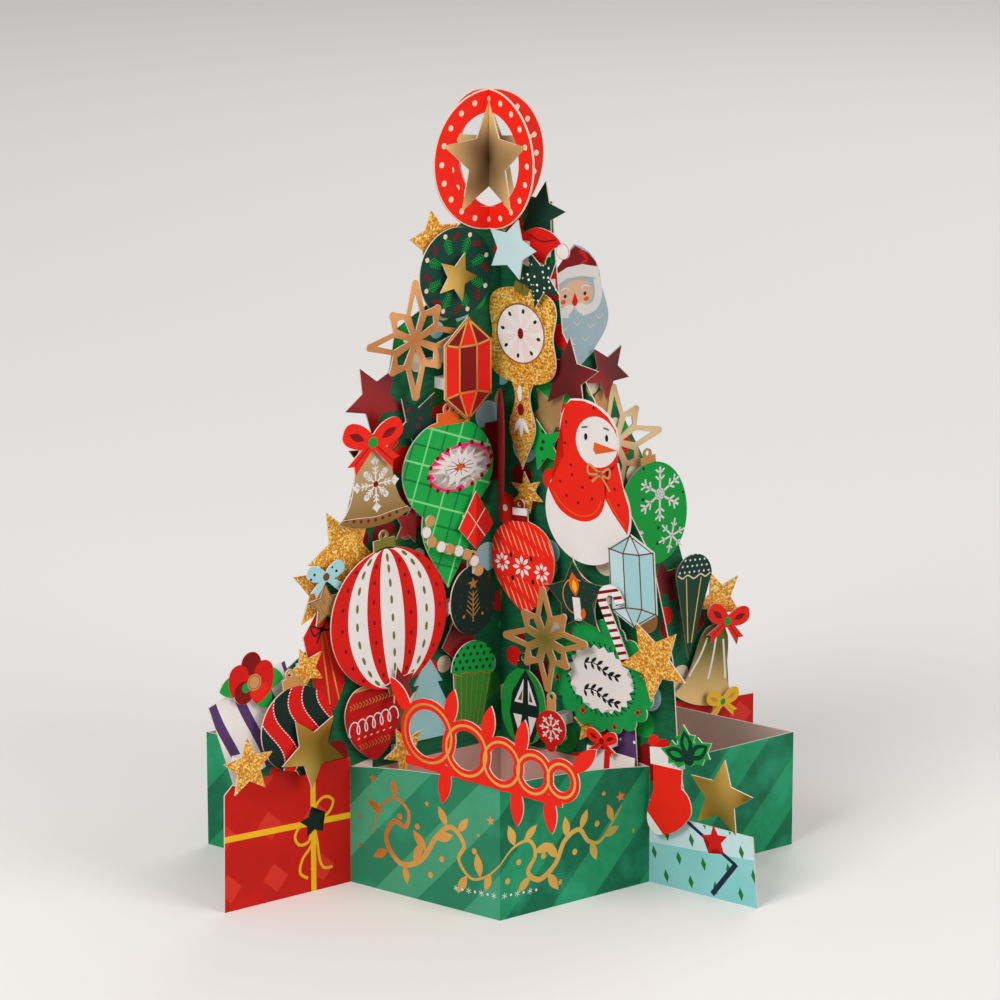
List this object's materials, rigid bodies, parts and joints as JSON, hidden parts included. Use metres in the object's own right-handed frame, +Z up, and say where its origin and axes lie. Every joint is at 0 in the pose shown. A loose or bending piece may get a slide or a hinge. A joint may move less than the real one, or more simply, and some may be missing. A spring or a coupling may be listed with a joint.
{
  "type": "pop up card",
  "caption": "Free-standing paper pop up tree of slotted sheets covered in die cut ornaments, inside a diamond shaped ring of folded card.",
  "frame": {"origin": "middle of the card's footprint, at table height", "axes": "+Z up; -Y towards the front corner of the base ring, which carries the scrollwork; X across the card"},
  "size_m": [0.18, 0.169, 0.2352],
  "materials": {
    "bead_garland": "printed card",
    "bearded_figure": "printed card",
    "bell_left": "printed card",
    "bell_right": "printed card",
    "blue_crystal": "printed card",
    "blue_star": "printed card",
    "blue_tree": "printed card",
    "candle_star": "printed card",
    "candy_ball": "printed card",
    "candy_cane": "printed card",
    "clock": "printed card",
    "cupcake": "printed card",
    "curl_bauble": "printed card",
    "diamond_bauble": "printed card",
    "dotted_cone": "printed card",
    "fir_wreath": "printed card",
    "foam_pads": "white foam",
    "foil_stars": "gold foil on card",
    "glitter_stars": "gold glitter card",
    "green_oval": "printed card",
    "green_plaque": "printed card",
    "green_stars": "printed card",
    "holly_sprig": "printed card",
    "openwork_star_left": "printed card",
    "openwork_star_low": "printed card",
    "openwork_star_right": "printed card",
    "plaid_bauble": "printed card",
    "plain_star": "printed card",
    "purple_gift": "printed card",
    "rear_baubles": "printed card",
    "rear_bells": "printed card",
    "red_bows": "printed card",
    "red_cap": "printed card",
    "red_crystal": "printed card",
    "red_flower": "printed card",
    "red_kite": "printed card",
    "red_tag": "printed card",
    "ruby_kite": "printed card",
    "ruby_stars": "dark red foil on card",
    "scroll_plaque": "printed card",
    "small_bauble": "printed card",
    "snow_bauble": "printed card",
    "snowflake_bauble": "printed card",
    "snowman": "printed card",
    "steep_bauble": "printed card",
    "stocking": "printed card",
    "striped_bauble": "printed card",
    "striped_present": "printed card",
    "topper_disc_a": "printed card",
    "topper_disc_b": "printed card",
    "tree_sheet_a": "printed card",
    "tree_sheet_b": "printed card",
    "wall_front": "printed card",
    "wall_left": "printed card",
    "wall_rear": "printed card",
    "wall_right": "printed card",
    "white_gift": "printed card",
    "wood_star": "printed card",
    "yellow_bow": "printed card"
  },
  "bodies": {
    "root": {"bead_garland": "bead_garland", "bearded_figure": "bearded_figure", "bell_left": "bell_left", "bell_right": "bell_right", "blue_crystal": "blue_crystal", "blue_star": "blue_star", "blue_tree": "blue_tree", "candle_star": "candle_star", "candy_ball": "candy_ball", "candy_cane": "candy_cane", "clock": "clock", "cupcake": "cupcake", "curl_bauble": "curl_bauble", "diamond_bauble": "diamond_bauble", "dotted_cone": "dotted_cone", "fir_wreath": "fir_wreath", "foam_pads": "foam_pads", "foil_stars": "foil_stars", "glitter_stars": "glitter_stars", "green_oval": "green_oval", "green_plaque": "green_plaque", "green_stars": "green_stars", "holly_sprig": "holly_sprig", "openwork_star_left": "openwork_star_left", "openwork_star_low": "openwork_star_low", "openwork_star_right": "openwork_star_right", "plaid_bauble": "plaid_bauble", "plain_star": "plain_star", "purple_gift": "purple_gift", "rear_baubles": "rear_baubles", "rear_bells": "rear_bells", "red_bows": "red_bows", "red_cap": "red_cap", "red_crystal": "red_crystal", "red_flower": "red_flower", "red_kite": "red_kite", "red_tag": "red_tag", "ruby_kite": "ruby_kite", "ruby_stars": "ruby_stars", "scroll_plaque": "scroll_plaque", "small_bauble": "small_bauble", "snow_bauble": "snow_bauble", "snowflake_bauble": "snowflake_bauble", "snowman": "snowman", "steep_bauble": "steep_bauble", "stocking": "stocking", "striped_bauble": "striped_bauble", "striped_present": "striped_present", "topper_disc_a": "topper_disc_a", "topper_disc_b": "topper_disc_b", "tree_sheet_a": "tree_sheet_a", "tree_sheet_b": "tree_sheet_b", "wall_front": "wall_front", "wall_left": "wall_left", "wall_rear": "wall_rear", "wall_right": "wall_right", "white_gift": "white_gift", "wood_star": "wood_star", "yellow_bow": "yellow_bow"}
  },
  "joints": []
}
